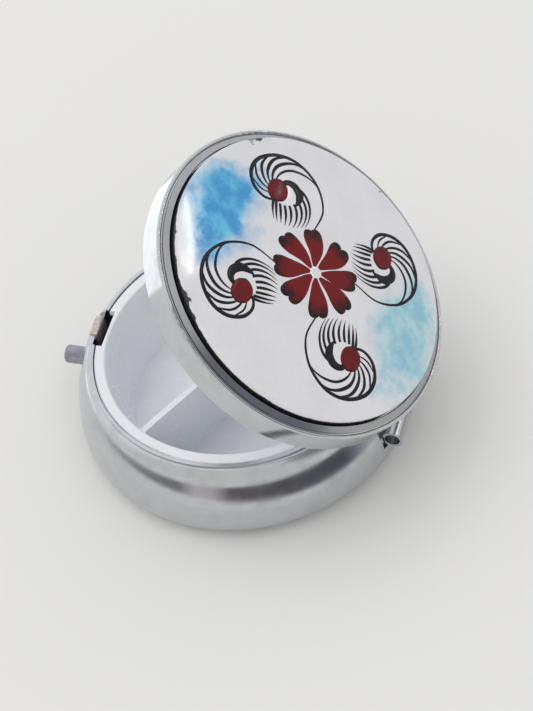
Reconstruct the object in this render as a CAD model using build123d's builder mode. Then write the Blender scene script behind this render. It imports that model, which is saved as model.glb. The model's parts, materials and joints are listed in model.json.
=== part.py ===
"""Round pill box: pressed base, three-compartment tray, hinged lid with an enamel disc, push latch.

Millimetres. The origin is the centre of the base's underside, +Z is up, -Y is the front (push
button) and +Y the back (hinge). Lid pieces are drawn as they lie when closed, on planes that stand
at the opening angle, so the model's rest pose is a partly open box.
"""

from build123d import *
from math import cos, radians, sin, sqrt
import os

# Driving dimensions -----------------------------------------------------------------------------

SHEET = 0.5  # pressed sheet of the base and of the lid's wall

# base bowl
FOOT_RADIUS = 19.2
BULGE_RADIUS = 25.0
BULGE_HEIGHT = 3.0  # height of the widest circle
BULGE_PULL = 4.2  # how far the wall runs up before it leans in
SHOULDER_HEIGHT = 13.0
SHOULDER_PULL = 1.5  # how far the shoulder runs out from the neck
NECK_RADIUS = 21.7
NECK_TOP = 13.4

# tray
TRAY_RIM_RADIUS = 21.1
TRAY_MOUTH_RADIUS = 19.4
TRAY_FLOOR_RADIUS = 17.0
TRAY_RIM_TOP = 13.3
TRAY_RIM_THICKNESS = 1.0
TRAY_BOTTOM = 0.8
TRAY_FLOOR = 1.6
TRAY_WALL = 1.0
TRAY_RECESS = 19.9  # distance from the axis to the flats for the latch
DIVIDER_THICKNESS = 0.9
DIVIDER_TOP = 12.4
DIVIDER_COUNT = 3
FIRST_DIVIDER_ANGLE = -30.0

# hinge
HINGE_Y = 24.6
HINGE_Z = 6.55
KNUCKLE_RADIUS = 1.5
PIN_RADIUS = 0.6
PIN_CLEARANCE = 0.05
LID_KNUCKLE_HALF = 2.8
BASE_KNUCKLE_START = 3.1
BASE_KNUCKLE_END = 8.1
OPEN_END_RADIUS = 1.1  # the rolled knuckles stand open at their outer ends
OPEN_END_DEPTH = 1.8
HINGE_GAP_HALF = 8.6  # half width of the opening in the base's wall
HINGE_GAP_BOTTOM = 4.6
LEAF_THICKNESS = 0.45
OPEN_ANGLE = 41.6

# latch
BUTTON_Z = 5.8
BUTTON_RADIUS = 1.4
BUTTON_TIP_Y = -28.1
BUTTON_CLEARANCE = 0.08
BUTTON_COLLAR_Y = -23.6
COLLAR_THICKNESS = 0.4
COLLAR_RADIUS = 1.9
STEM_RADIUS = 0.7
STEM_CLEARANCE = 0.06
STEM_END_Y = -20.4
LATCH_THICKNESS = 0.45
LATCH_HALF_WIDTH = 1.7
NOSE_FRONT_Y = -22.3
NOSE_BACK_Y = -21.1
NOSE_TOP = 13.8
NOSE_THICKNESS = 0.5
NOTCH_HALF_WIDTH = 3.3
NOTCH_FRONT_Y = -22.9
NOTCH_BOTTOM = 12.0
BRACKET_Y = -20.7
BRACKET_THICKNESS = 0.4
BRACKET_HALF_WIDTH = 2.5
SPRING_WIRE = 0.2
SPRING_RADIUS = 1.1
SPRING_TURNS = 3

# lid, measured from the plane of its lower edge
LID_EDGE = 12.25  # height of that plane when the lid is shut
LID_RADIUS = 23.3
LID_HEIGHT = 4.0
BEAD_RADIUS = 0.32
GROOVE_DEPTH = 0.25
BEZEL_INNER = 21.6
BEZEL_TOP = 4.4
LID_SHEET = 0.4
RECESS_FLOOR = 3.2
LINER_BOTTOM = 2.2
LINER_THICKNESS = 0.5
LINER_RADIUS = 22.75

# enamelled disc
DISC_RADIUS = 21.4
DISC_LOWER_EDGE = 3.25
DISC_SHEET = 0.8
ENAMEL_LOWER_EDGE = 5.0
ENAMEL_UPPER_EDGE = 5.5
DOME_RISE = 1.3

# Derived sizes and planes -----------------------------------------------------------------------

INNER_BULGE = BULGE_RADIUS - SHEET
INNER_NECK = NECK_RADIUS - SHEET
LID_INNER = LID_RADIUS - SHEET
PIN_BORE = PIN_RADIUS + PIN_CLEARANCE
COLLAR_BACK_Y = BUTTON_COLLAR_Y + COLLAR_THICKNESS
PLATE_BACK_Y = COLLAR_BACK_Y + LATCH_THICKNESS


def tipped(y, z):
    """A point of the shut lid, moved to where it is at the opening angle."""
    turn = radians(-OPEN_ANGLE)
    dy = y - HINGE_Y
    dz = z - HINGE_Z
    return (0, HINGE_Y + dy * cos(turn) - dz * sin(turn), HINGE_Z + dy * sin(turn) + dz * cos(turn))


LID_CENTRE = tipped(0, LID_EDGE)
LID_UP = (0, sin(radians(OPEN_ANGLE)), cos(radians(OPEN_ANGLE)))
LID_FRONT = (0, -cos(radians(OPEN_ANGLE)), sin(radians(OPEN_ANGLE)))
LID_AXIS = Axis(LID_CENTRE, LID_UP)
LID_LEVEL = Plane(origin=LID_CENTRE, x_dir=(1, 0, 0), z_dir=LID_UP)
LID_SECTION = Plane(origin=LID_CENTRE, x_dir=(1, 0, 0), z_dir=LID_FRONT)
LID_BACK = (0, cos(radians(OPEN_ANGLE)), -sin(radians(OPEN_ANGLE)))
LID_SIDE = Plane(origin=LID_CENTRE, x_dir=LID_BACK, z_dir=(1, 0, 0))
HINGE_SECTION = Plane(origin=(0, HINGE_Y, HINGE_Z), x_dir=(0, 1, 0), z_dir=(1, 0, 0))


def dome_radius(edge, rise):
    """Radius of the sphere that rises by this much over a circle of this radius."""
    return (edge**2 + rise**2) / (2 * rise)


def arc_point(edge, height, rise, radius):
    """A point of a dome's section, at a distance from the axis."""
    sphere = dome_radius(edge, rise)
    return (radius, height + rise - sphere + sqrt(sphere**2 - radius**2))


def bowl_outline(inset, top):
    """Half section of the bowl: its outside, or its inside at one sheet's thickness."""
    floor_edge = BULGE_RADIUS - inset - FOOT_RADIUS
    widest = (BULGE_RADIUS - inset, BULGE_HEIGHT)
    neck = (NECK_RADIUS - inset, SHOULDER_HEIGHT - inset)
    Line((0, inset), (FOOT_RADIUS, inset))
    EllipticalCenterArc((FOOT_RADIUS, BULGE_HEIGHT), floor_edge, BULGE_HEIGHT - inset, 270, arc_size=90)
    Bezier(widest, (widest[0], widest[1] + BULGE_PULL), (neck[0] + SHOULDER_PULL, neck[1]), neck)
    Line(neck, (neck[0], top))
    Line((neck[0], top), (0, top))
    Line((0, top), (0, inset))


def save(piece, name):
    """Names a finished piece and writes its file."""
    piece.label = name
    export_step(piece, f"parts/{name}.step")


os.makedirs("parts", exist_ok=True)

# Base -------------------------------------------------------------------------------------------

# The room inside the bowl: what is welded to the bowl is trimmed to it.
with BuildPart() as bowl_room:
    with BuildSketch(Plane.XZ):
        with BuildLine():
            bowl_outline(SHEET, NECK_TOP + 1)
        make_face()
    revolve(axis=Axis.Z)

# Pressed bowl: flat foot, round lower wall, elliptical shoulder and a short neck. The wall is open
# at the back for the hinge, notched at the front for the latch nose, and bored for the button.
with BuildPart() as base_shell:
    with BuildSketch(Plane.XZ):
        with BuildLine():
            bowl_outline(0, NECK_TOP)
        make_face()
    revolve(axis=Axis.Z)
    add(bowl_room.part, mode=Mode.SUBTRACT)
    with BuildSketch(Plane.XY.offset(HINGE_GAP_BOTTOM)):
        with Locations((0, INNER_NECK - 1)):
            Rectangle(2 * HINGE_GAP_HALF, BULGE_RADIUS, align=(Align.CENTER, Align.MIN))
    extrude(amount=NECK_TOP, mode=Mode.SUBTRACT)
    with BuildSketch(Plane.XY.offset(NOTCH_BOTTOM)):
        with Locations((0, NOTCH_FRONT_Y)):
            Rectangle(2 * NOTCH_HALF_WIDTH, 3, align=(Align.CENTER, Align.MIN))
    extrude(amount=NECK_TOP, mode=Mode.SUBTRACT)
    with BuildSketch(Plane.XZ.offset(INNER_NECK)):
        with Locations((0, BUTTON_Z)):
            Circle(BUTTON_RADIUS + BUTTON_CLEARANCE)
    extrude(amount=BULGE_RADIUS, mode=Mode.SUBTRACT)
save(base_shell.part, "base_shell")

# Tray: a tapered cup with a flat rim, and dividers between rounded pockets.
TRAY_SLOPE = (TRAY_MOUTH_RADIUS - TRAY_FLOOR_RADIUS) / (TRAY_RIM_TOP - TRAY_FLOOR)
UNDERSIDE_RADIUS = TRAY_FLOOR_RADIUS + TRAY_WALL - TRAY_SLOPE * (TRAY_FLOOR - TRAY_BOTTOM)
RIM_UNDERSIDE = TRAY_RIM_TOP - TRAY_RIM_THICKNESS
ROOT_RADIUS = TRAY_MOUTH_RADIUS + TRAY_WALL - TRAY_SLOPE * TRAY_RIM_THICKNESS

with BuildPart(mode=Mode.PRIVATE) as pockets:
    with BuildSketch(Plane.XZ):
        Polygon(
            (0, TRAY_FLOOR),
            (TRAY_FLOOR_RADIUS, TRAY_FLOOR),
            (TRAY_FLOOR_RADIUS + TRAY_SLOPE * (DIVIDER_TOP - TRAY_FLOOR), DIVIDER_TOP),
            (0, DIVIDER_TOP),
            align=None,
        )
    revolve(axis=Axis.Z)
    with BuildSketch(Plane.XY.offset(TRAY_FLOOR)):
        with PolarLocations(0, DIVIDER_COUNT, FIRST_DIVIDER_ANGLE):
            Rectangle(BULGE_RADIUS, DIVIDER_THICKNESS, align=(Align.MIN, Align.CENTER))
    extrude(amount=DIVIDER_TOP, mode=Mode.SUBTRACT)
    upright = pockets.edges().filter_by(lambda e: abs(e.tangent_at(0.5).Z) > 0.5)
    fillet(upright, radius=0.6)
    fillet(pockets.edges().group_by(Axis.Z)[0], radius=0.45)

with BuildPart() as tray:
    with BuildSketch(Plane.XZ) as tray_section:
        Polygon(
            (0, TRAY_BOTTOM),
            (UNDERSIDE_RADIUS, TRAY_BOTTOM),
            (ROOT_RADIUS, RIM_UNDERSIDE),
            (TRAY_RIM_RADIUS, RIM_UNDERSIDE),
            (TRAY_RIM_RADIUS, TRAY_RIM_TOP),
            (TRAY_MOUTH_RADIUS, TRAY_RIM_TOP),
            (TRAY_MOUTH_RADIUS - TRAY_SLOPE * (TRAY_RIM_TOP - DIVIDER_TOP), DIVIDER_TOP),
            (0, DIVIDER_TOP),
            align=None,
        )
        fillet(tray_section.vertices().group_by(Axis.Y)[-1], radius=0.3)
        fillet(tray_section.vertices().group_by(Axis.Y)[0].sort_by(Axis.X)[-1], radius=0.4)
    revolve(axis=Axis.Z)
    add(pockets.part, mode=Mode.SUBTRACT)
    with BuildSketch(Plane.XY):
        with Locations((0, -TRAY_RECESS)):
            Rectangle(2 * NOTCH_HALF_WIDTH, 3, align=(Align.CENTER, Align.MAX))
    extrude(amount=2 * NECK_TOP, mode=Mode.SUBTRACT)
save(tray.part, "tray")

# Adhesive pads between the bowl's floor and the tray.
with BuildPart() as tray_pads:
    with BuildSketch(Plane.XY.offset(SHEET)):
        with PolarLocations(11, 3, 30):
            Circle(3)
    extrude(amount=TRAY_BOTTOM - SHEET)
save(tray_pads.part, "tray_pads")

# Hinge ------------------------------------------------------------------------------------------

# Curved leaf welded inside the bowl's back wall, with the two outer knuckles rolled on it.
LEAF_TOP = HINGE_Z - 0.6
LEAF_LOW_ANGLE = 290
PIN_END = BASE_KNUCKLE_END - OPEN_END_DEPTH
with BuildPart() as base_hinge_leaf:
    with BuildSketch(Plane.XZ):
        with BuildLine():
            outer = EllipticalCenterArc(
                (FOOT_RADIUS, BULGE_HEIGHT),
                INNER_BULGE - FOOT_RADIUS,
                BULGE_HEIGHT - SHEET,
                LEAF_LOW_ANGLE,
                arc_size=360 - LEAF_LOW_ANGLE,
            )
            inner = EllipticalCenterArc(
                (FOOT_RADIUS, BULGE_HEIGHT),
                INNER_BULGE - LEAF_THICKNESS - FOOT_RADIUS,
                BULGE_HEIGHT - SHEET - LEAF_THICKNESS,
                LEAF_LOW_ANGLE,
                arc_size=360 - LEAF_LOW_ANGLE,
            )
            Line(outer @ 1, (INNER_BULGE, LEAF_TOP))
            Line((INNER_BULGE, LEAF_TOP), (INNER_BULGE - LEAF_THICKNESS, LEAF_TOP))
            Line((INNER_BULGE - LEAF_THICKNESS, LEAF_TOP), inner @ 1)
            Line(inner @ 0, outer @ 0)
        make_face()
    revolve(axis=Axis.Z)
    add(bowl_room.part, mode=Mode.INTERSECT)
    with BuildSketch(Plane.XY):
        Rectangle(2 * BASE_KNUCKLE_END, BULGE_RADIUS, align=(Align.CENTER, Align.MIN))
    extrude(amount=LEAF_TOP, mode=Mode.INTERSECT)
    with BuildSketch(HINGE_SECTION.offset(-BASE_KNUCKLE_END)):
        Circle(KNUCKLE_RADIUS)
    extrude(amount=2 * BASE_KNUCKLE_END)
    with BuildSketch(HINGE_SECTION.offset(-BASE_KNUCKLE_START)):
        Rectangle(5, KNUCKLE_RADIUS + 0.3, align=(Align.CENTER, Align.MAX))
        Rectangle(5, 3, align=(Align.CENTER, Align.MIN))
    extrude(amount=2 * BASE_KNUCKLE_START, mode=Mode.SUBTRACT)
    with BuildSketch(HINGE_SECTION.offset(-BASE_KNUCKLE_END)):
        Circle(PIN_RADIUS)
    extrude(amount=2 * BASE_KNUCKLE_END, mode=Mode.SUBTRACT)
    with BuildSketch(HINGE_SECTION.offset(-BASE_KNUCKLE_END), HINGE_SECTION.offset(PIN_END)):
        Circle(OPEN_END_RADIUS)
    extrude(amount=OPEN_END_DEPTH, mode=Mode.SUBTRACT)
save(base_hinge_leaf.part, "base_hinge_leaf")

# Pin pressed into the outer knuckles, where its ends lie inside their open ends.
with BuildPart() as hinge_pin:
    with BuildSketch(HINGE_SECTION.offset(-PIN_END)):
        Circle(PIN_RADIUS)
    extrude(amount=2 * PIN_END)
    ends = hinge_pin.faces().sort_by(Axis.X)
    fillet(ends[0].edges() + ends[-1].edges(), radius=0.15)
save(hinge_pin.part, "hinge_pin")

# Thin washers between the lid's knuckle and the base's knuckles.
WASHER_THICKNESS = 0.2
WASHER_GAP = (BASE_KNUCKLE_START - LID_KNUCKLE_HALF - WASHER_THICKNESS) / 2
with BuildPart() as hinge_washers:
    with BuildSketch(
        HINGE_SECTION.offset(LID_KNUCKLE_HALF + WASHER_GAP),
        HINGE_SECTION.offset(-LID_KNUCKLE_HALF - WASHER_GAP - WASHER_THICKNESS),
    ):
        Circle(KNUCKLE_RADIUS - 0.1)
        Circle(PIN_BORE, mode=Mode.SUBTRACT)
    extrude(amount=WASHER_THICKNESS)
save(hinge_washers.part, "hinge_washers")

# Latch ------------------------------------------------------------------------------------------

BUTTON_PLANE = Plane(origin=(0, 0, BUTTON_Z), x_dir=(1, 0, 0), z_dir=(0, 1, 0))

# Button: head outside the wall, collar that stops it inside, and a stem for the spring.
with BuildPart() as push_button:
    with BuildSketch(BUTTON_PLANE.offset(BUTTON_TIP_Y)):
        Circle(BUTTON_RADIUS)
    extrude(amount=BUTTON_COLLAR_Y - BUTTON_TIP_Y)
    fillet(push_button.faces().sort_by(Axis.Y)[0].edges(), radius=0.35)
    with BuildSketch(BUTTON_PLANE.offset(BUTTON_COLLAR_Y)):
        Circle(COLLAR_RADIUS)
    extrude(amount=COLLAR_THICKNESS)
    with BuildSketch(BUTTON_PLANE.offset(COLLAR_BACK_Y)):
        Circle(STEM_RADIUS)
    extrude(amount=STEM_END_Y - COLLAR_BACK_Y)
save(push_button.part, "push_button")

# Latch plate on the stem: it rises inside the shoulder, steps inward and ends in an outward nose.
PLATE_FOOT = BUTTON_Z - 1.6
PLATE_STEP = 8.8
PLATE_NECK = 11.4
with BuildPart() as latch_plate:
    with BuildSketch(Plane.YZ.offset(-LATCH_HALF_WIDTH)):
        Polygon(
            (COLLAR_BACK_Y, PLATE_FOOT),
            (PLATE_BACK_Y, PLATE_FOOT),
            (PLATE_BACK_Y, PLATE_STEP - 0.2),
            (NOSE_BACK_Y, PLATE_NECK - 0.2),
            (NOSE_BACK_Y, NOSE_TOP),
            (NOSE_FRONT_Y, NOSE_TOP),
            (NOSE_FRONT_Y, NOSE_TOP - NOSE_THICKNESS),
            (NOSE_BACK_Y - NOSE_THICKNESS, NOSE_TOP - NOSE_THICKNESS),
            (NOSE_BACK_Y - NOSE_THICKNESS, PLATE_NECK),
            (COLLAR_BACK_Y, PLATE_STEP),
            align=None,
        )
    extrude(amount=2 * LATCH_HALF_WIDTH)
    nose_edges = latch_plate.edges().filter_by(Axis.X).group_by(Axis.Z)[-1]
    fillet(nose_edges, radius=0.2)
    with BuildSketch(BUTTON_PLANE.offset(COLLAR_BACK_Y)):
        Circle(STEM_RADIUS)
    extrude(amount=LATCH_THICKNESS, mode=Mode.SUBTRACT)
save(latch_plate.part, "latch_plate")

# Clip that keeps the plate on the stem and takes the spring's push.
CLIP_THICKNESS = 0.25
CLIP_BACK_Y = PLATE_BACK_Y + CLIP_THICKNESS
with BuildPart() as stem_clip:
    with BuildSketch(BUTTON_PLANE.offset(PLATE_BACK_Y)):
        Circle(1.5)
        Circle(STEM_RADIUS, mode=Mode.SUBTRACT)
        Rectangle(0.5, 3, align=(Align.CENTER, Align.MAX), mode=Mode.SUBTRACT)
    extrude(amount=CLIP_THICKNESS)
save(stem_clip.part, "stem_clip")

# Bracket welded to the bowl's floor: it guides the stem and carries the spring.
BRACKET_TOP = BUTTON_Z + 2
BRACKET_FOOT_Y = -UNDERSIDE_RADIUS - 0.4
with BuildPart() as spring_bracket:
    with BuildSketch(Plane.YZ.offset(-BRACKET_HALF_WIDTH)):
        Polygon(
            (BRACKET_Y, 0),
            (BRACKET_Y, BRACKET_TOP),
            (BRACKET_Y + BRACKET_THICKNESS, BRACKET_TOP),
            (BRACKET_Y + BRACKET_THICKNESS, SHEET + BRACKET_THICKNESS),
            (BRACKET_FOOT_Y, SHEET + BRACKET_THICKNESS),
            (BRACKET_FOOT_Y, 0),
            align=None,
        )
    extrude(amount=2 * BRACKET_HALF_WIDTH)
    add(bowl_room.part, mode=Mode.INTERSECT)
    with BuildSketch(BUTTON_PLANE.offset(BRACKET_Y)):
        Circle(STEM_RADIUS + STEM_CLEARANCE)
    extrude(amount=BRACKET_THICKNESS, mode=Mode.SUBTRACT)
save(spring_bracket.part, "spring_bracket")

# Coil spring on the stem, between the clip and the bracket.
SPRING_GAP = 0.02
SPRING_LENGTH = BRACKET_Y - CLIP_BACK_Y - SPRING_WIRE - 2 * SPRING_GAP
with BuildPart() as return_spring:
    with BuildLine():
        coil = Helix(
            pitch=SPRING_LENGTH / SPRING_TURNS,
            height=SPRING_LENGTH,
            radius=SPRING_RADIUS,
            center=(0, CLIP_BACK_Y + SPRING_WIRE / 2 + SPRING_GAP, BUTTON_Z),
            direction=(0, 1, 0),
        )
    with BuildSketch(Plane(origin=coil @ 0, z_dir=coil % 0)):
        Circle(SPRING_WIRE / 2)
    sweep(is_frenet=True)
save(return_spring.part, "return_spring")

# Lid --------------------------------------------------------------------------------------------

BEAD_CENTRE = (LID_RADIUS - BEAD_RADIUS, LID_HEIGHT - BEAD_RADIUS)
GROOVE_OUTER = LID_RADIUS - 2 * BEAD_RADIUS
GROOVE_INNER = GROOVE_OUTER - 0.2
GROOVE_FLOOR = LID_HEIGHT - GROOVE_DEPTH
RECESS_OUTSIDE = BEZEL_INNER + LID_SHEET
RECESS_UNDERSIDE = RECESS_FLOOR - LID_SHEET
CHANNEL_TOP = LID_HEIGHT - 0.75
BEZEL_EDGE = 0.1

# Pressed ring and recess: straight wall, rolled bead, thin groove, sloped bezel, sunk floor.
with BuildPart() as lid_shell:
    with BuildSketch(LID_SECTION):
        with BuildLine():
            Line((LID_INNER, 0), (LID_RADIUS, 0))
            Line((LID_RADIUS, 0), (LID_RADIUS, BEAD_CENTRE[1]))
            CenterArc(BEAD_CENTRE, BEAD_RADIUS, 0, 180)
            Line((GROOVE_OUTER, BEAD_CENTRE[1]), (GROOVE_INNER, GROOVE_FLOOR))
            Line((GROOVE_INNER, GROOVE_FLOOR), (GROOVE_INNER, LID_HEIGHT))
            Line((GROOVE_INNER, LID_HEIGHT), (BEZEL_INNER + BEZEL_EDGE, BEZEL_TOP))
            Line((BEZEL_INNER + BEZEL_EDGE, BEZEL_TOP), (BEZEL_INNER, BEZEL_TOP - BEZEL_EDGE))
            Line((BEZEL_INNER, BEZEL_TOP - BEZEL_EDGE), (BEZEL_INNER, RECESS_FLOOR))
            Line((BEZEL_INNER, RECESS_FLOOR), (0, RECESS_FLOOR))
            Line((0, RECESS_FLOOR), (0, RECESS_UNDERSIDE))
            Line((0, RECESS_UNDERSIDE), (RECESS_OUTSIDE, RECESS_UNDERSIDE))
            Line((RECESS_OUTSIDE, RECESS_UNDERSIDE), (RECESS_OUTSIDE, CHANNEL_TOP))
            Line((RECESS_OUTSIDE, CHANNEL_TOP), (LID_INNER, CHANNEL_TOP))
            Line((LID_INNER, CHANNEL_TOP), (LID_INNER, 0))
        make_face()
    revolve(axis=LID_AXIS)
save(lid_shell.part, "lid_shell")

# Plate that closes the lid's inside, pushed into the wall.
with BuildPart() as lid_liner:
    with BuildSketch(LID_LEVEL.offset(LINER_BOTTOM)):
        Circle(LINER_RADIUS)
    extrude(amount=LINER_THICKNESS)
    fillet(lid_liner.edges().group_by(Axis.Z)[0], radius=0.15)
save(lid_liner.part, "lid_liner")

# Catch welded inside the lid's front wall, with an inward lip that goes under the latch nose.
CATCH_HALF_WIDTH = 2.6
CATCH_OVERLAP = 0.35
LIP_TOP = NOSE_TOP - NOSE_THICKNESS - 0.2 - LID_EDGE
LIP_BOTTOM = LIP_TOP - 0.4
with BuildPart() as lid_catch:
    with BuildSketch(LID_SIDE.offset(-CATCH_HALF_WIDTH)):
        Polygon(
            (-LID_RADIUS, LIP_BOTTOM),
            (NOSE_FRONT_Y + CATCH_OVERLAP, LIP_BOTTOM),
            (NOSE_FRONT_Y + CATCH_OVERLAP, LIP_TOP),
            (-LID_INNER + 0.5, LIP_TOP),
            (-LID_INNER + 0.5, LINER_BOTTOM - 0.1),
            (-LID_RADIUS, LINER_BOTTOM - 0.1),
            align=None,
        )
    extrude(amount=2 * CATCH_HALF_WIDTH)
    with BuildSketch(LID_LEVEL):
        Circle(LID_INNER)
    extrude(amount=LID_HEIGHT, mode=Mode.INTERSECT)
save(lid_catch.part, "lid_catch")

# Leaf welded inside the lid's back wall, reaching down to the centre knuckle.
HINGE_DROP = LID_EDGE - HINGE_Z
STRAP_HALF_WIDTH = LID_KNUCKLE_HALF - 0.2
STRAP_THICKNESS = 0.5
STRAP_INNER = LID_INNER - STRAP_THICKNESS
KNUCKLE_INNER = HINGE_Y - KNUCKLE_RADIUS
with BuildPart() as lid_hinge_leaf:
    with BuildSketch(LID_SIDE.offset(-STRAP_HALF_WIDTH)):
        Polygon(
            (STRAP_INNER, 0),
            (LID_RADIUS, 0),
            (LID_RADIUS, LINER_BOTTOM - 0.1),
            (STRAP_INNER, LINER_BOTTOM - 0.1),
            align=None,
        )
    extrude(amount=2 * STRAP_HALF_WIDTH)
    with BuildSketch(LID_LEVEL):
        Circle(LID_INNER)
    extrude(amount=LID_HEIGHT, mode=Mode.INTERSECT)
    with BuildSketch(LID_SIDE.offset(-STRAP_HALF_WIDTH)):
        Polygon(
            (STRAP_INNER, 0),
            (LID_INNER - 0.1, 0),
            (KNUCKLE_INNER + STRAP_THICKNESS, -HINGE_DROP),
            (KNUCKLE_INNER, -HINGE_DROP),
            align=None,
        )
    extrude(amount=2 * STRAP_HALF_WIDTH)
    with BuildSketch(HINGE_SECTION.offset(-LID_KNUCKLE_HALF)):
        Circle(KNUCKLE_RADIUS)
    extrude(amount=2 * LID_KNUCKLE_HALF)
    with BuildSketch(HINGE_SECTION.offset(-LID_KNUCKLE_HALF)):
        Circle(PIN_BORE)
    extrude(amount=2 * LID_KNUCKLE_HALF, mode=Mode.SUBTRACT)
save(lid_hinge_leaf.part, "lid_hinge_leaf")

# Enamelled disc ---------------------------------------------------------------------------------

# Domed copper plate with its rim turned down into the recess.
PLATE_INNER = DISC_RADIUS - DISC_SHEET
UNDER_PLATE = ENAMEL_LOWER_EDGE - DISC_SHEET
with BuildPart() as copper_plate:
    with BuildSketch(LID_SECTION):
        with BuildLine():
            Line((PLATE_INNER, DISC_LOWER_EDGE), (DISC_RADIUS, DISC_LOWER_EDGE))
            Line((DISC_RADIUS, DISC_LOWER_EDGE), (DISC_RADIUS, ENAMEL_LOWER_EDGE))
            ThreePointArc(
                (DISC_RADIUS, ENAMEL_LOWER_EDGE),
                arc_point(DISC_RADIUS, ENAMEL_LOWER_EDGE, DOME_RISE, DISC_RADIUS / 2),
                (0, ENAMEL_LOWER_EDGE + DOME_RISE),
            )
            Line((0, ENAMEL_LOWER_EDGE + DOME_RISE), (0, UNDER_PLATE + DOME_RISE))
            ThreePointArc(
                (0, UNDER_PLATE + DOME_RISE),
                arc_point(PLATE_INNER, UNDER_PLATE, DOME_RISE, PLATE_INNER / 2),
                (PLATE_INNER, UNDER_PLATE),
            )
            Line((PLATE_INNER, UNDER_PLATE), (PLATE_INNER, DISC_LOWER_EDGE))
        make_face()
    revolve(axis=LID_AXIS)
save(copper_plate.part, "copper_plate")

# Fired enamel over the plate, with a rounded edge.
EDGE_ROUNDING = 0.35
with BuildPart() as enamel_face:
    with BuildSketch(LID_SECTION):
        with BuildLine():
            Line((DISC_RADIUS, ENAMEL_LOWER_EDGE), (DISC_RADIUS, ENAMEL_UPPER_EDGE))
            ThreePointArc(
                (DISC_RADIUS, ENAMEL_UPPER_EDGE),
                arc_point(DISC_RADIUS, ENAMEL_UPPER_EDGE, DOME_RISE, DISC_RADIUS / 2),
                (0, ENAMEL_UPPER_EDGE + DOME_RISE),
            )
            Line((0, ENAMEL_UPPER_EDGE + DOME_RISE), (0, ENAMEL_LOWER_EDGE + DOME_RISE))
            ThreePointArc(
                (0, ENAMEL_LOWER_EDGE + DOME_RISE),
                arc_point(DISC_RADIUS, ENAMEL_LOWER_EDGE, DOME_RISE, DISC_RADIUS / 2),
                (DISC_RADIUS, ENAMEL_LOWER_EDGE),
            )
        make_face()
    revolve(axis=LID_AXIS)
    top_edge = enamel_face.edges().filter_by(GeomType.CIRCLE).sort_by_distance(LID_CENTRE)[-1]
    fillet(top_edge, radius=EDGE_ROUNDING)
save(enamel_face.part, "enamel_face")

# Resin that fills the dome and holds the disc in the recess.
with BuildPart() as resin_bed:
    with BuildSketch(LID_SECTION):
        with BuildLine():
            Line((0, RECESS_FLOOR), (PLATE_INNER, RECESS_FLOOR))
            Line((PLATE_INNER, RECESS_FLOOR), (PLATE_INNER, UNDER_PLATE))
            ThreePointArc(
                (PLATE_INNER, UNDER_PLATE),
                arc_point(PLATE_INNER, UNDER_PLATE, DOME_RISE, PLATE_INNER / 2),
                (0, UNDER_PLATE + DOME_RISE),
            )
            Line((0, UNDER_PLATE + DOME_RISE), (0, RECESS_FLOOR))
        make_face()
    revolve(axis=LID_AXIS)
save(resin_bed.part, "resin_bed")
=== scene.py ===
"""Round pill box with an enamelled lid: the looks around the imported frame, in metres."""
import json
import math
import random

import bmesh
import bpy
from mathutils import Matrix, Vector


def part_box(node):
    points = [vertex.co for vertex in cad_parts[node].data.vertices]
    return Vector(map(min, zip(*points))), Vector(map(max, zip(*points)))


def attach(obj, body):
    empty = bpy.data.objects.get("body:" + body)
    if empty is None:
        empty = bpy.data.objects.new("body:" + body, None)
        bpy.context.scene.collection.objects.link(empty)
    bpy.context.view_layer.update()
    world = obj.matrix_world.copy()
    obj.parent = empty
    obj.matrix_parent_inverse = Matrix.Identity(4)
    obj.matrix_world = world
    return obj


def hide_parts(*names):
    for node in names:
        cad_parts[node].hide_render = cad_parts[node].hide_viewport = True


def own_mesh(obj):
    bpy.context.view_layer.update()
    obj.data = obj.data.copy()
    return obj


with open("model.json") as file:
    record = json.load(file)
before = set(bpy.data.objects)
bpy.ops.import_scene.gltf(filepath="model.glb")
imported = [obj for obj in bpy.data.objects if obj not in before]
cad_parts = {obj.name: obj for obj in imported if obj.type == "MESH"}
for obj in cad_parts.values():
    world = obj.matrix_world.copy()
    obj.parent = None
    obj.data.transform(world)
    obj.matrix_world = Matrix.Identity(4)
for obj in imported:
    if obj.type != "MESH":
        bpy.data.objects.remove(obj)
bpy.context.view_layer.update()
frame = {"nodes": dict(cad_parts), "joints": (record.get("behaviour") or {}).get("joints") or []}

MM = 0.001

# ------------------------------------------------------------------ the lid's own frame
# Lid coordinates are those of the shut lid in millimetres: x across, y towards the hinge,
# h above the lid's lower edge. The row frame shows the lid standing open.
LID_JOINT = [j for j in frame["joints"] if j["name"] == "lid_hinge"][0]
HINGE = Vector(LID_JOINT["pos_m"])
OPENED = Matrix.Rotation(math.radians(LID_JOINT["range_deg"][0]), 3, "X")
LID_EDGE = 12.25
DISC_RADIUS = 21.4
ENAMEL_EDGE = 5.5
DOME_RISE = 1.3
DOME_SPHERE = (DISC_RADIUS ** 2 + DOME_RISE ** 2) / (2 * DOME_RISE)


def dome(x, y):
    """Height of the enamel's surface above the lid's lower edge."""
    return ENAMEL_EDGE + DOME_RISE - DOME_SPHERE + math.sqrt(DOME_SPHERE ** 2 - x * x - y * y)


def on_lid(x, y, h):
    """A point in lid coordinates as a point of the row frame, in metres."""
    shut = Vector((x, y, LID_EDGE + h)) * MM
    return HINGE + OPENED @ (shut - HINGE)


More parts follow.
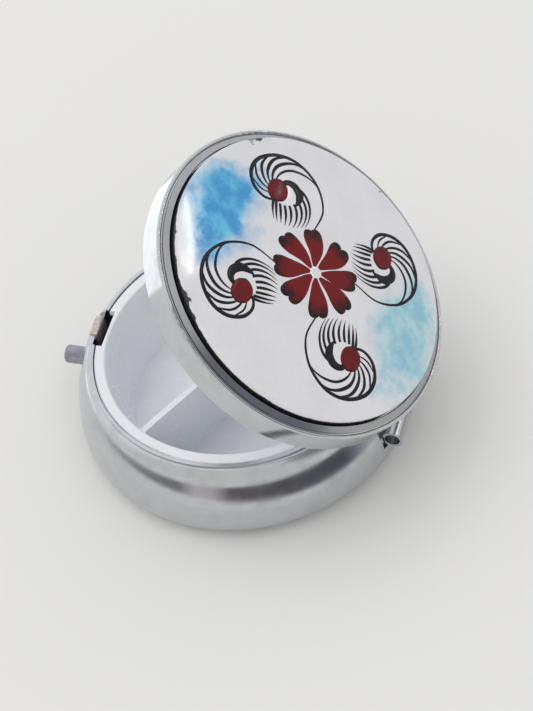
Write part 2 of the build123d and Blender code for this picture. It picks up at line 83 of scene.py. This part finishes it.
# ------------------------------------------------------------------ node materials
class Finish:
    """A node material, written in short calls."""

    def __init__(self, name):
        self.material = bpy.data.materials.new(name)
        self.material.use_nodes = True
        self.tree = self.material.node_tree
        self.shader = self.tree.nodes["Principled BSDF"]

    def node(self, kind, values=None, **settings):
        made = self.tree.nodes.new("ShaderNode" + kind)
        for key, value in settings.items():
            setattr(made, key, value)
        self.fill(made, values or {})
        return made

    def fill(self, node, values):
        for key, value in values.items():
            if isinstance(value, bpy.types.NodeSocket):
                self.tree.links.new(value, node.inputs[key])
            else:
                node.inputs[key].default_value = value

    def shade(self, **values):
        names = {key.replace("_", " "): value for key, value in values.items()}
        self.fill(self.shader, names)

    def place(self, on_the_lid=False):
        """Position in the row frame, or in the frame of the shut lid with its axis as Z."""
        spot = self.node("TexCoord").outputs["Object"]
        if not on_the_lid:
            return spot
        shift = HINGE - OPENED.inverted() @ HINGE
        turn = -math.radians(LID_JOINT["range_deg"][0])
        return self.node("Mapping", {"Vector": spot, "Location": shift, "Rotation": (turn, 0, 0)}).outputs[0]

    def noise(self, vector, scale, detail=3.0, rough=0.5, kind="Fac"):
        values = {"Vector": vector, "Scale": scale, "Detail": detail, "Roughness": rough}
        return self.node("TexNoise", values).outputs[kind]

    def math(self, operation, a, b=0.0, clamp=False):
        return self.node("Math", {0: a, 1: b}, operation=operation, use_clamp=clamp).outputs[0]

    def remap(self, value, low, high, out_low=0.0, out_high=1.0, smooth=True):
        style = "SMOOTHSTEP" if smooth else "LINEAR"
        values = {0: value, 1: low, 2: high, 3: out_low, 4: out_high}
        return self.node("MapRange", values, interpolation_type=style).outputs[0]

    def mix(self, share, a, b, style="MIX"):
        made = self.node("Mix", data_type="RGBA", blend_type=style)
        for index, value in ((0, share), (6, a), (7, b)):
            if isinstance(value, bpy.types.NodeSocket):
                self.tree.links.new(value, made.inputs[index])
            else:
                made.inputs[index].default_value = value if index == 0 else (*value, 1.0)
        return made.outputs[2]

    def bump(self, height, depth, strength=1.0, below=None):
        values = {"Height": height, "Distance": depth, "Strength": strength}
        if below is not None:
            values["Normal"] = below
        return self.node("Bump", values).outputs[0]

    def ring(self, vector):
        """Distance from the box's axis, and height, as a vector for turned or rolled marks."""
        parts = self.node("SeparateXYZ", {0: vector}).outputs
        square = self.math("ADD", self.math("MULTIPLY", parts[0], parts[0]),
                           self.math("MULTIPLY", parts[1], parts[1]))
        return self.math("SQRT", square), parts

    def stretched(self, vector, scale):
        return self.node("Mapping", {"Vector": vector, "Scale": scale}).outputs[0]


def metal(name, colour, dull, on_the_lid=False, rough=0.09, grain=0.6, turned=True, shaded_bezel=False):
    """Bright metal: fine polishing marks, a faint ripple, haze and a few dull spots."""
    f = Finish(name)
    spot = f.place(on_the_lid)
    radius, parts = f.ring(spot)
    if turned:
        along = f.node("CombineXYZ", {0: radius, 1: f.math("MULTIPLY", parts[0], 0.03),
                                      2: parts[2]}).outputs[0]
    else:
        along = f.stretched(spot, (0.12, 1.0, 1.0))
    lines = f.noise(along, 9000.0, 2.0, 0.6)
    ripple = f.noise(spot, 160.0, 2.0, 0.4)
    haze = f.noise(spot, 420.0, 4.0, 0.6)
    specks = f.noise(spot, 3200.0, 2.0, 0.7)
    tint = f.mix(f.remap(haze, 0.35, 0.75), colour, dull)
    tint = f.mix(f.remap(specks, 0.70, 0.80, 0.0, 0.5), tint, tuple(c * 0.45 for c in dull))
    # The bezel ring round the enamel is darkened here: painted shade in that recess.
    if shaded_bezel:
        inside = f.remap(radius, 0.02262, 0.02250)
        above = f.remap(parts[2], (LID_EDGE + 3.6) * MM, (LID_EDGE + 3.8) * MM)
        tint = f.mix(f.math("MULTIPLY", inside, above), tint, tuple(c * 0.72 for c in dull))
    gloss = f.math("ADD", f.remap(haze, 0.3, 0.8, rough * 0.75, rough * 1.5),
                   f.remap(lines, 0.3, 0.8, 0.0, rough * 0.35))
    bumps = f.bump(ripple, 0.00004, 0.5)
    bumps = f.bump(lines, 0.000002, grain, bumps)
    f.shade(Base_Color=tint, Metallic=1.0, Roughness=gloss, Normal=bumps)
    return f.material


CHROME = (0.60, 0.61, 0.625)
chrome_base = metal("chrome_base", CHROME, (0.55, 0.56, 0.575), rough=0.16)
chrome_lid = metal("chrome_lid", CHROME, (0.55, 0.56, 0.575), on_the_lid=True, shaded_bezel=True)
nickel = metal("nickel", (0.58, 0.57, 0.55), (0.45, 0.44, 0.42), rough=0.2, turned=False)
spring_steel = metal("spring_steel", (0.42, 0.42, 0.43), (0.26, 0.25, 0.25), rough=0.25, turned=False)
liner_metal = metal("liner_metal", (0.74, 0.75, 0.77), (0.66, 0.67, 0.69), on_the_lid=True,
                    rough=0.16, grain=1.0)


def brass():
    f = Finish("latch_brass")
    spot = f.place()
    stain = f.noise(spot, 700.0, 5.0, 0.65)
    grain = f.noise(f.stretched(spot, (1.0, 1.0, 0.08)), 7000.0, 2.0, 0.6)
    colour = f.mix(f.remap(stain, 0.35, 0.7), (0.66, 0.60, 0.55), (0.36, 0.31, 0.28))
    colour = f.mix(f.remap(grain, 0.55, 0.8, 0.0, 0.35), colour, (0.66, 0.60, 0.52))
    f.shade(Base_Color=colour, Metallic=1.0, Roughness=f.remap(stain, 0.3, 0.8, 0.28, 0.5),
            Normal=f.bump(grain, 0.000006, 0.6))
    return f.material


def moulded():
    """The tray: glossy white plastic with a cool cast, flow marks and light scuffs."""
    f = Finish("tray_plastic")
    spot = f.place()
    flow = f.noise(spot, 120.0, 3.0, 0.5)
    scuff = f.noise(f.stretched(spot, (1.0, 0.15, 1.0)), 2600.0, 3.0, 0.7)
    dust = f.noise(spot, 5200.0, 2.0, 0.6)
    colour = f.mix(f.remap(flow, 0.3, 0.7), (0.895, 0.91, 0.95), (0.85, 0.87, 0.915))
    colour = f.mix(f.remap(dust, 0.74, 0.80, 0.0, 0.25), colour, (0.62, 0.62, 0.61))
    f.shade(Base_Color=colour, Roughness=f.remap(scuff, 0.35, 0.8, 0.25, 0.29),
            Normal=f.bump(flow, 0.00003, 0.35, f.bump(scuff, 0.0000006, 0.3)),
            Subsurface_Weight=0.12, Subsurface_Scale=0.002,
            Subsurface_Radius=(1.0, 1.0, 1.0), IOR=1.49)
    return f.material


def blotch(f, across, along, wobble, centre, size, turn=0.0):
    """1 at the middle of a soft-edged oval in lid coordinates, 0 outside it; metres."""
    c, s = math.cos(math.radians(turn)), math.sin(math.radians(turn))
    dx = f.math("SUBTRACT", across, centre[0] * MM)
    dy = f.math("SUBTRACT", along, centre[1] * MM)
    u = f.math("ADD", f.math("MULTIPLY", dx, c / (size[0] * MM)), f.math("MULTIPLY", dy, s / (size[0] * MM)))
    v = f.math("ADD", f.math("MULTIPLY", dx, -s / (size[1] * MM)), f.math("MULTIPLY", dy, c / (size[1] * MM)))
    far = f.math("SQRT", f.math("ADD", f.math("MULTIPLY", u, u), f.math("MULTIPLY", v, v)))
    return f.remap(f.math("ADD", far, wobble), 1.15, 0.45)


ENAMEL_WHITE = (0.78, 0.77, 0.81)
BLACK_GLAZE = (0.006, 0.007, 0.012)


def enamel_ground():
    """White enamel with two brushed blue clouds, faint pits and an uneven black edge, partly a dark fired rim and
    partly painted shade of the gap at the bezel.
    """
    f = Finish("enamel_ground")
    spot = f.place(on_the_lid=True)
    radius, parts = f.ring(spot)
    x, y = parts[0], parts[1]
    broad = f.noise(spot, 110.0, 4.0, 0.55)
    brushed = f.noise(spot, 330.0, 4.0, 0.6)
    fine = f.noise(spot, 2400.0, 3.0, 0.6)
    wobble = f.math("MULTIPLY", f.math("SUBTRACT", f.math("ADD", f.math("MULTIPLY", broad, 0.72),
                    f.math("MULTIPLY", brushed, 0.28)), 0.5), 2.2)
    colour = f.mix(f.remap(broad, 0.3, 0.7), ENAMEL_WHITE, (0.72, 0.725, 0.77))
    colour = f.mix(f.remap(fine, 0.35, 0.75, 0.0, 0.25), colour, (0.65, 0.64, 0.655))
    near = blotch(f, x, y, wobble, (-1.8, -15.2), (9.6, 6.6), -8.0)
    far = blotch(f, x, y, wobble, (0.6, 16.6), (10.4, 6.9), 12.0)
    deep = f.remap(brushed, 0.36, 0.66)
    strong = f.mix(deep, (0.004, 0.28, 0.62), (0.085, 0.50, 0.80))
    pale = f.mix(deep, (0.16, 0.50, 0.64), (0.38, 0.66, 0.72))
    colour = f.mix(f.math("MULTIPLY", near, 0.97), colour, strong)
    colour = f.mix(f.math("MULTIPLY", far, 0.85), colour, pale)
    # The uneven black edge low on the enamel: partly a dark fired rim, partly painted shade of the gap at the bezel.
    edge = f.math("ADD", f.math("MULTIPLY", broad, 0.7), f.math("MULTIPLY", brushed, 0.3))
    ragged = f.math("SUBTRACT", parts[2], f.math("MULTIPLY", f.math("SUBTRACT", edge, 0.5), 4.2 * MM))
    rim = f.remap(ragged, (LID_EDGE + 5.10) * MM, (LID_EDGE + 4.98) * MM)
    colour = f.mix(rim, colour, (0.012, 0.011, 0.014))
    pits = f.remap(fine, 0.30, 0.22, 0.0, 1.0)
    ripple = f.bump(broad, 0.00012, 0.5)
    f.shade(Base_Color=colour, Roughness=f.remap(brushed, 0.3, 0.7, 0.06, 0.11),
            Normal=f.bump(pits, -0.000006, 0.5, ripple), IOR=1.52,
            Coat_Weight=0.4, Coat_Roughness=0.04)
    return f.material


def glaze_paint(name, colour, dark, centre=None, reach=(4.5, 7.5)):
    """Glossy fired paint, a little uneven; with a centre, it darkens away from it."""
    f = Finish(name)
    spot = f.place(on_the_lid=True)
    thick = f.noise(spot, 900.0, 4.0, 0.6)
    if centre is None:
        share = f.remap(thick, 0.35, 0.75, 0.0, 0.8)
    else:
        _, parts = f.ring(f.node("VectorMath", {0: spot, 1: (-centre[0] * MM, -centre[1] * MM, 0)}).outputs[0])
        square = f.math("ADD", f.math("MULTIPLY", parts[0], parts[0]), f.math("MULTIPLY", parts[1], parts[1]))
        away = f.math("ADD", f.math("SQRT", square), f.math("MULTIPLY", f.math("SUBTRACT", thick, 0.5), 0.004))
        share = f.remap(away, reach[0] * MM, reach[1] * MM)
    f.shade(Base_Color=f.mix(share, colour, dark), Roughness=f.remap(thick, 0.3, 0.7, 0.07, 0.16),
            Normal=f.bump(thick, 0.00001, 0.5), IOR=1.34)
    return f.material


def burnt_copper():
    f = Finish("burnt_copper")
    spot = f.place(on_the_lid=True)
    crust = f.noise(spot, 1400.0, 5.0, 0.7)
    colour = f.mix(f.remap(crust, 0.35, 0.75), (0.008, 0.008, 0.010), (0.030, 0.022, 0.020))
    f.shade(Base_Color=colour, Metallic=0.35, Roughness=f.remap(crust, 0.3, 0.8, 0.35, 0.7),
            Normal=f.bump(crust, 0.00004, 0.8))
    return f.material


def foam_or_resin(name, colour, speck, size, rough):
    f = Finish(name)
    spot = f.place()
    cells = f.node("TexVoronoi", {"Vector": spot, "Scale": size}).outputs["Distance"]
    cloud = f.noise(spot, size * 0.2, 4.0, 0.6)
    f.shade(Base_Color=f.mix(f.remap(cloud, 0.3, 0.75), colour, speck), Roughness=rough,
            Normal=f.bump(cells, 0.00005, 0.7))
    return f.material


pad_foam = foam_or_resin("pad_foam", (0.78, 0.77, 0.72), (0.62, 0.61, 0.56), 4000.0, 0.85)
resin = foam_or_resin("resin", (0.62, 0.56, 0.42), (0.48, 0.42, 0.30), 1500.0, 0.35)

FINISHES = {
    "base_shell": chrome_base, "base_hinge_leaf": chrome_base, "push_button": metal("button", (0.36, 0.355, 0.41), (0.24, 0.235, 0.28), rough=0.14),
    "lid_shell": chrome_lid, "lid_hinge_leaf": chrome_lid, "lid_liner": liner_metal,
    "hinge_pin": nickel, "hinge_washers": nickel, "spring_bracket": nickel, "stem_clip": nickel,
    "lid_catch": nickel, "latch_plate": brass(), "return_spring": spring_steel, "tray": moulded(),
    "tray_pads": pad_foam, "resin_bed": resin, "copper_plate": burnt_copper(),
    "enamel_face": enamel_ground(),
}
for name, node in frame["nodes"].items():
    node.data.materials.clear()
    node.data.materials.append(FINISHES[name])


# ------------------------------------------------------------------ the button's spring
WIRE = 0.2 * MM
TURNS = 3


def coil_spring(name, node):
    """The return spring as a coil that gets shorter when the button is pressed."""
    low, high = (Vector(corner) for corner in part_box(node))
    middle = (low + high) / 2
    radius = (high.x - low.x) / 2 - WIRE / 2
    length = high.y - low.y - WIRE
    steps, sides = 36 * TURNS, 12
    bm = bmesh.new()
    rows = []
    for k in range(steps + 1):
        a = 2 * math.pi * TURNS * k / steps
        outward = Vector((math.cos(a), 0, math.sin(a)))
        along = Vector((-math.sin(a), length / (2 * math.pi * TURNS * radius), math.cos(a))).normalized()
        across = along.cross(outward)
        centre = Vector((middle.x, low.y + WIRE / 2 + length * k / steps, middle.z)) + outward * radius
        rows.append([bm.verts.new(centre + (outward * math.cos(b) + across * math.sin(b)) * WIRE / 2)
                     for b in (2 * math.pi * j / sides for j in range(sides))])
    for a, b in zip(rows, rows[1:]):
        for j in range(sides):
            bm.faces.new((a[j], a[(j + 1) % sides], b[(j + 1) % sides], b[j]))
    bm.faces.new(list(reversed(rows[0])))
    bm.faces.new(rows[-1])
    bmesh.ops.recalc_face_normals(bm, faces=bm.faces)
    mesh = bpy.data.meshes.new(name)
    bm.to_mesh(mesh)
    bm.free()
    for polygon in mesh.polygons:
        polygon.use_smooth = len(polygon.vertices) == 4
    mesh.materials.append(spring_steel)
    piece = bpy.data.objects.new(name, mesh)
    bpy.context.scene.collection.objects.link(piece)
    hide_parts(node)
    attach(piece, "base")
    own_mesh(piece)
    return piece


coil_spring("coil_spring", "return_spring")


# ------------------------------------------------------------------ the painted ornament
random.seed(11)


def spline(points, count):
    """Points along a Catmull-Rom curve through the given ones (any number of numbers each)."""
    ends = [points[0], *points, points[-1]]
    ends[0] = tuple(2 * a - b for a, b in zip(points[0], points[1]))
    ends[-1] = tuple(2 * a - b for a, b in zip(points[-1], points[-2]))
    out = []
    for k in range(count):
        t = k / (count - 1) * (len(points) - 1)
        i = min(int(t), len(points) - 2)
        t -= i
        p = ends[i:i + 4]
        out.append(tuple(
            0.5 * (2 * b + (c - a) * t + (2 * a - 5 * b + 4 * c - d) * t ** 2
                   + (3 * b - a - 3 * c + d) * t ** 3) for a, b, c, d in zip(*p)))
    return out


def kept_on(x, y, inside=17.5, edge=20.9):
    """The point itself, or near the enamel's edge one drawn in so that it stays on the enamel."""
    r = math.hypot(x, y)
    if r <= inside:
        return x, y
    drawn_in = edge - (edge - inside) * math.exp(-(r - inside) / (edge - inside))
    return x * drawn_in / r, y * drawn_in / r


def ribbon(bm, line, lift, across=4):
    """A closed strip of paint lying on the dome. line holds (x, y, half width) in lid mm."""
    line = [(*kept_on(x, y), half) for x, y, half in line]
    rows = []
    for k, (x, y, half) in enumerate(line):
        x0, y0, _ = line[max(k - 1, 0)]
        x1, y1, _ = line[min(k + 1, len(line) - 1)]
        length = math.hypot(x1 - x0, y1 - y0) or 1.0
        nx, ny = -(y1 - y0) / length, (x1 - x0) / length
        half = max(half, 0.01)
        row = []
        for j in range(across + 1):
            u = 2 * j / across - 1
            px, py = x + nx * u * half, y + ny * u * half
            crown = lift * (1 - 0.5 * u * u) if 0 < j < across else -0.02
            row.append(bm.verts.new(on_lid(px, py, dome(px, py) + crown)))
        for u in (1, -1):
            px, py = x + nx * u * half, y + ny * u * half
            row.append(bm.verts.new(on_lid(px, py, dome(px, py) - 0.06)))
        rows.append(row)
    count = len(rows[0])
    for a, b in zip(rows, rows[1:]):
        for j in range(count):
            bm.faces.new((a[j], a[(j + 1) % count], b[(j + 1) % count], b[j]))
    bm.faces.new(list(reversed(rows[0])))
    bm.faces.new(rows[-1])


def paint_piece(name, material, strokes, lift, across=4):
    bm = bmesh.new()
    for line in strokes:
        ribbon(bm, line, lift, across)
    bmesh.ops.recalc_face_normals(bm, faces=bm.faces)
    mesh = bpy.data.meshes.new(name)
    bm.to_mesh(mesh)
    bm.free()
    for polygon in mesh.polygons:
        polygon.use_smooth = True
    mesh.materials.append(material)
    piece = bpy.data.objects.new(name, mesh)
    bpy.context.scene.collection.objects.link(piece)
    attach(piece, "lid")
    return piece


# The outer stroke of a scroll about its dot, a plain spiral: bearing in degrees and distance,
# for a scroll of size 1.
CROWN = tuple((246 + 32 * k, 8.6 * (1 - (k / 10.6) ** 1.7)) for k in range(11))
# Ribs inside it: bearing where they leave the outer stroke, degrees of turn, half width.
HEAD_RIBS = ((303, 84, 0.30), (331, 78, 0.37), (357, 72, 0.36), (383, 68, 0.32), (412, 64, 0.27),
             (444, 58, 0.2))
# The dark heart beside the dot: bearing, distance and half width.
HEART = ((352, 1.3, 0.35), (334, 2.7, 0.70), (314, 3.6, 0.95), (292, 4.0, 0.95), (272, 3.9, 0.65), (254, 3.8, 0.15))
TAIL_RIBS = 9


def crown_radius(bearing):
    """Distance of the outer stroke from the dot at a bearing."""
    bearing = (bearing - CROWN[0][0]) % 360 + CROWN[0][0]
    for (b0, r0), (b1, r1) in zip(CROWN, CROWN[1:]):
        if b0 <= bearing <= b1:
            t = (bearing - b0) / (b1 - b0)
            return r0 + (r1 - r0) * t * t * (3 - 2 * t)
    return CROWN[-1][1]


def scroll(dot, size, turn, mirror, radius, first, tail):
    """A comma-shaped scroll: an outer stroke, ribs that curl into its dot, and a feathered tail."""
    flip = -1 if mirror else 1
    c, s = math.cos(math.radians(turn)), math.sin(math.radians(turn))

    def place(bearing, distance):
        a = math.radians(bearing)
        x, y = distance * size * math.cos(a), flip * distance * size * math.sin(a)
        return dot[0] + x * c - y * s, dot[1] + x * s + y * c

    rail = [(*place(b, r), size * (0.08 + 0.36 * math.sin(math.pi * min(1.0, 0.09 + 0.077 * (k + first))) ** 1.3))
            for k, (b, r) in enumerate(CROWN[first:])]
    strokes = [spline(rail, 110), spline([(*place(b - 246 + CROWN[first][0], r), size * w) for b, r, w in HEART], 40)]
    inner = radius / size * 0.8
    for start, sweep, swell in HEAD_RIBS:
        line = []
        for k in range(34):
            u = k / 33
            r = crown_radius(start + sweep * u) * (1 - u ** 1.5) + inner * u ** 1.5
            width = swell * size * (0.10 + 0.95 * math.sin(math.pi * min(1.0, 0.08 + u * 0.80)) ** 1.3)
            line.append((*place(start + sweep * u, r), width))
        strokes.append(line)
    end = CROWN[first][0]
    for k in range(TAIL_RIBS):
        t = k / (TAIL_RIBS - 1)
        start, near = end + 60 - 134 * t, 1.5 + 2.7 * (1 - t) ** 0.8
        stop, far = end - 7 - 50 * t, (8.9 - 2.0 * t + 0.35 * math.sin(3.1 * k)) * tail
        line = []
        for j in range(30):
            u = j / 29
            r = near + (far - near) * u ** (0.75 + 0.35 * t)
            width = size * (0.04 + 0.29 * math.sin(math.pi * min(1.0, 0.36 + 0.64 * u)) ** 1.1)
            line.append((*place(start + (stop - start) * u, r), width))
        strokes.append(line)
    return strokes


def disc(centre, radius, wobble=0.03):
    """A roughly round spot, as a very short and wide stroke."""
    line = []
    for k in range(29):
        a = math.pi * k / 28
        half = radius * (math.sin(a) + wobble * math.sin(5 * a + centre[0]))
        line.append((centre[0] - radius * math.cos(a), centre[1], max(half, 0.01)))
    return line


# Four scrolls, all alike, a quarter turn apart round the middle.
SCROLL_RING = 12.9
SCROLLS = []
for quarter in range(4):
    a = math.radians(45 + 90 * quarter)
    # dot, size, turn, mirrored, dot radius, first point of the outer stroke, length of the tail
    SCROLLS.append(((SCROLL_RING * math.cos(a), SCROLL_RING * math.sin(a)), 0.88, 90.0 * quarter, False,
                    1.75, 0, 0.82))
scroll_lines = []
dots = []
for dot, size, turn, mirror, radius, first, tail in SCROLLS:
    scroll_lines += scroll(dot, size, turn, mirror, radius, first, tail)
    scroll_lines.append(disc(dot, radius * 1.14, 0.05))
    dots.append(disc(dot, radius))

FLOWER = (0.0, 0.0)
PETALS = [(22.5 + 45 * k, 6.7, 1.55) for k in range(8)]
petals = []
for angle, length, half in PETALS:
    bend = random.uniform(-0.35, 0.35)
    for lobe in (-1, 1):
        a = math.radians(angle + lobe * random.uniform(5.5, 7.5))
        reach = length + random.uniform(-0.35, 0.25)
        line = []
        for k in range(31):
            t = 0.5 - 0.5 * math.cos(math.pi * k / 30)
            w = half * (0.07 * (1 - t) + 1.02 * t ** 0.8 * max(0.0, 1 - t ** 5) ** 0.5)
            r = 0.9 + (reach - 0.9) * t
            side = bend * math.sin(math.pi * t) + 0.10 * math.sin(7 * t + angle)
            line.append((FLOWER[0] + r * math.cos(a) - side * math.sin(a),
                         FLOWER[1] + r * math.sin(a) + side * math.cos(a), w))
        petals.append(line)
        scroll_lines.append([(x + 0.16 * math.cos(a), y + 0.16 * math.sin(a), w + 0.11)
                             for x, y, w in line[16:]])

black = glaze_paint("black_paint", BLACK_GLAZE, (0.011, 0.010, 0.014))
crimson = glaze_paint("crimson_paint", (0.15, 0.003, 0.006), (0.085, 0.002, 0.004))
petal_paint = glaze_paint("petal_paint", (0.165, 0.003, 0.005), (0.006, 0.003, 0.004), FLOWER, (4.2, 6.9))
paint_piece("ornament_scrolls", black, scroll_lines, 0.022)
paint_piece("ornament_petals", petal_paint, petals, 0.035, 10)
paint_piece("ornament_dots", crimson, dots, 0.05, 10)


# ------------------------------------------------------------------ floor, light and camera
def camera_frame():
    """Camera position and turn: azimuth 115.8, elevation 50.6, rolled 13.1 degrees."""
    az, el, roll = (math.radians(a) for a in (115.764, 50.645, -13.059))
    back = Vector((math.sin(az) * math.cos(el), -math.cos(az) * math.cos(el), math.sin(el)))
    right = Vector((0, 0, 1)).cross(back).normalized()
    up = back.cross(right)
    across = right * math.cos(roll) + up * math.sin(roll)
    above = up * math.cos(roll) - right * math.sin(roll)
    return across, above, back


across, above, back = camera_frame()
TARGET = Vector((5.513, 7.0, 19.231)) * MM
camera = bpy.data.objects.new("camera", bpy.data.cameras.new("camera"))
bpy.context.scene.collection.objects.link(camera)
camera.data.lens = 118.55
camera.data.sensor_width = 36.0
camera.data.clip_start = 0.01
camera.data.clip_end = 10.0
turn = Matrix((across, above, back)).transposed().to_4x4()
camera.matrix_world = Matrix.Translation(TARGET + back * 0.330) @ turn
bpy.context.scene.camera = camera


def mirrored_only(obj):
    """A stage piece that only shows in reflections."""
    for ray in ("camera", "diffuse", "transmission", "volume_scatter", "shadow"):
        setattr(obj, "visible_" + ray, False)


def stage_mesh(name, points, faces, colour, glow):
    """A stage piece: a lit surface, or with glow, one that shines with just that colour and only shows in
    reflections, a painted reflection.
    """
    mesh = bpy.data.meshes.new(name)
    mesh.from_pydata(points, [], faces)
    piece = bpy.data.objects.new(name, mesh)
    bpy.context.scene.collection.objects.link(piece)
    f = Finish(name)
    if glow:
        f.shade(Base_Color=(0, 0, 0, 1), Specular_IOR_Level=0.0, Emission_Color=colour if isinstance(
            colour, bpy.types.NodeSocket) else (*colour, 1.0), Emission_Strength=1.0)
    else:
        f.shade(Base_Color=(*colour, 1.0), Roughness=1.0, Specular_IOR_Level=0.0)
    mesh.materials.append(f.material)
    if glow:
        mirrored_only(piece)
    return piece, f


FLOOR_HALF = 2.0
stage_mesh("floor", [(-FLOOR_HALF, -FLOOR_HALF, -0.00002), (FLOOR_HALF, -FLOOR_HALF, -0.00002),
                     (FLOOR_HALF, FLOOR_HALF, -0.00002), (-FLOOR_HALF, FLOOR_HALF, -0.00002)], [(0, 1, 2, 3)],
           (0.82, 0.82, 0.815), False)

# A low glowing ring round the box, no lamp, that only shows in the polished metal: painted reflections,
# pale, with a dark side on the camera's. Azimuth in degrees (0 is -Y, 90 is +X) and colour.
RING_RADIUS = 0.033
RING_STOPS = (
    (-180, (0.43, 0.44, 0.45)), (-80, (1.15, 1.16, 1.18)), (-20, (1.10, 1.11, 1.13)), (25, (0.82, 0.83, 0.84)), (46, (0.44, 0.44, 0.46)),
    (62, (0.25, 0.25, 0.27)), (78, (0.19, 0.19, 0.21)), (85, (0.62, 0.57, 0.61)), (92, (0.58, 0.53, 0.57)),
    (100, (0.14, 0.125, 0.135)), (150, (0.085, 0.09, 0.11)), (164, (0.48, 0.48, 0.53)), (180, (0.43, 0.44, 0.45)),
)
SIDES = 72
ring_points = []
for step in range(SIDES):
    a = 2 * math.pi * step / SIDES
    for height in (0.0015, 0.0105):
        ring_points.append((RING_RADIUS * math.sin(a), -RING_RADIUS * math.cos(a), height))
ring_faces = [(2 * k, (2 * k + 2) % (2 * SIDES), (2 * k + 3) % (2 * SIDES), 2 * k + 1) for k in range(SIDES)]
ring, shade = stage_mesh("painted_reflection_ring", ring_points, ring_faces, (0, 0, 0), True)
spot = shade.place()
parts = shade.node("SeparateXYZ", {0: spot}).outputs
bearing = shade.math("ARCTAN2", parts[0], shade.math("MULTIPLY", parts[1], -1.0))
ramp = shade.node("ValToRGB", {0: shade.remap(bearing, -math.pi, math.pi, smooth=False)})
stops = ramp.color_ramp.elements
while len(stops) < len(RING_STOPS):
    stops.new(0.5)
for stop, (azimuth, tone) in zip(stops, RING_STOPS):
    stop.position = (azimuth + 180) / 360
    stop.color = (*tone, 1.0)
sheared = shade.math("ADD", parts[2], shade.math("MULTIPLY", parts[1], 0.075))
low = shade.remap(sheared, 0.0041, 0.0053)
high = shade.remap(parts[2], 0.0098, 0.0088)
tone = shade.mix(shade.math("MULTIPLY", low, high), (0.76, 0.765, 0.76), ramp.outputs[0])
shade.fill(shade.shader, {"Emission Color": tone})

# A glowing sheet lying to the left that only shows in reflections: a painted reflection for the lid's side wall.
sheet_points = [(-0.26, -0.30, 0.0002), (0.03, -0.30, 0.0002), (0.01, -0.058, 0.0002), (-0.06, -0.05, 0.0002)]
stage_mesh("painted_reflection_sheet", sheet_points, [(0, 1, 2, 3)], (1.5, 1.51, 1.54), True)

# Painted reflections: a glowing sphere, seen only in reflections, standing for the room as the metal and the enamel
# mirror it.
ROOM_RADIUS = 1.6
ROOM = (0.74, 0.75, 0.735)
# Direction (azimuth, elevation), degrees of full strength and of its end, colour.
ROOM_PATCHES = (
    ((-40, 20), 40, 75, (0.95, 0.96, 1.0)),
    ((165, 32), 18, 34, (0.27, 0.28, 0.32)),
    ((0, 90), 12, 30, (0.92, 0.92, 0.92)),
)
bm = bmesh.new()
bmesh.ops.create_uvsphere(bm, u_segments=48, v_segments=24, radius=ROOM_RADIUS)
room_points = [tuple(v.co) for v in bm.verts]
room_faces = [tuple(v.index for v in face.verts) for face in bm.faces]
bm.free()
painted_room_reflection, shade = stage_mesh("painted_room_reflection", room_points, room_faces, ROOM, True)
toward = shade.node("VectorMath", {0: shade.place()}, operation="NORMALIZE").outputs[0]
colour = ROOM
for (azimuth, elevation), inner, outer, patch in ROOM_PATCHES:
    az, el = math.radians(azimuth), math.radians(elevation)
    axis = (math.sin(az) * math.cos(el), -math.cos(az) * math.cos(el), math.sin(el))
    near = shade.node("VectorMath", {0: toward, 1: axis}, operation="DOT_PRODUCT").outputs["Value"]
    share = shade.remap(near, math.cos(math.radians(outer)), math.cos(math.radians(inner)))
    colour = shade.mix(share, colour, patch)
shade.fill(shade.shader, {"Emission Color": colour})


def area_light(name, position, aim, size, power, colour=(1, 1, 1)):
    light = bpy.data.lights.new(name, "AREA")
    light.shape = "RECTANGLE"
    light.size, light.size_y = size
    light.energy = power
    light.color = colour
    lamp = bpy.data.objects.new(name, light)
    bpy.context.scene.collection.objects.link(lamp)
    lamp.rotation_mode = "QUATERNION"
    lamp.location = position
    lamp.rotation_quaternion = (Vector(position) - Vector(aim)).to_track_quat("Z", "Y")
    return lamp


left = -(Vector((0, 0, 1)).cross(back)).normalized()
away = -Vector((back.x, back.y, 0)).normalized()
key = area_light("key", TARGET + left * 0.5 + away * 0.2 + Vector((0, 0, 0.62)), TARGET, (0.9, 0.9), 1.6)
key.visible_glossy = False

# Two small glowing strips far off, no lamps, that only show in reflections: painted glints. Their ends in metres,
# half width, strength.
PAINTED_GLINTS = (
    ((-0.437, 0.367, 0.2575), (-0.425, 0.379, 0.2605), 0.0035, 14.0),
    ((-0.372, 0.338, 0.369), (-0.285, 0.398, 0.386), 0.0026, 16.0),
)
for number, (start, stop, half, strength) in enumerate(PAINTED_GLINTS):
    start, stop = Vector(start), Vector(stop)
    side = (stop - start).cross(start - TARGET).normalized() * half
    stage_mesh("painted_glint_%d" % number, [start - side, stop - side, stop + side, start + side], [(0, 1, 2, 3)],
               (strength, strength, strength), True)

world = bpy.data.worlds.new("studio")
world.use_nodes = True
world.node_tree.nodes["Background"].inputs["Color"].default_value = (1.0, 0.992, 0.98, 1.0)
world.node_tree.nodes["Background"].inputs["Strength"].default_value = 0.85
bpy.context.scene.world = world
bpy.context.scene.view_settings.view_transform = "Standard"
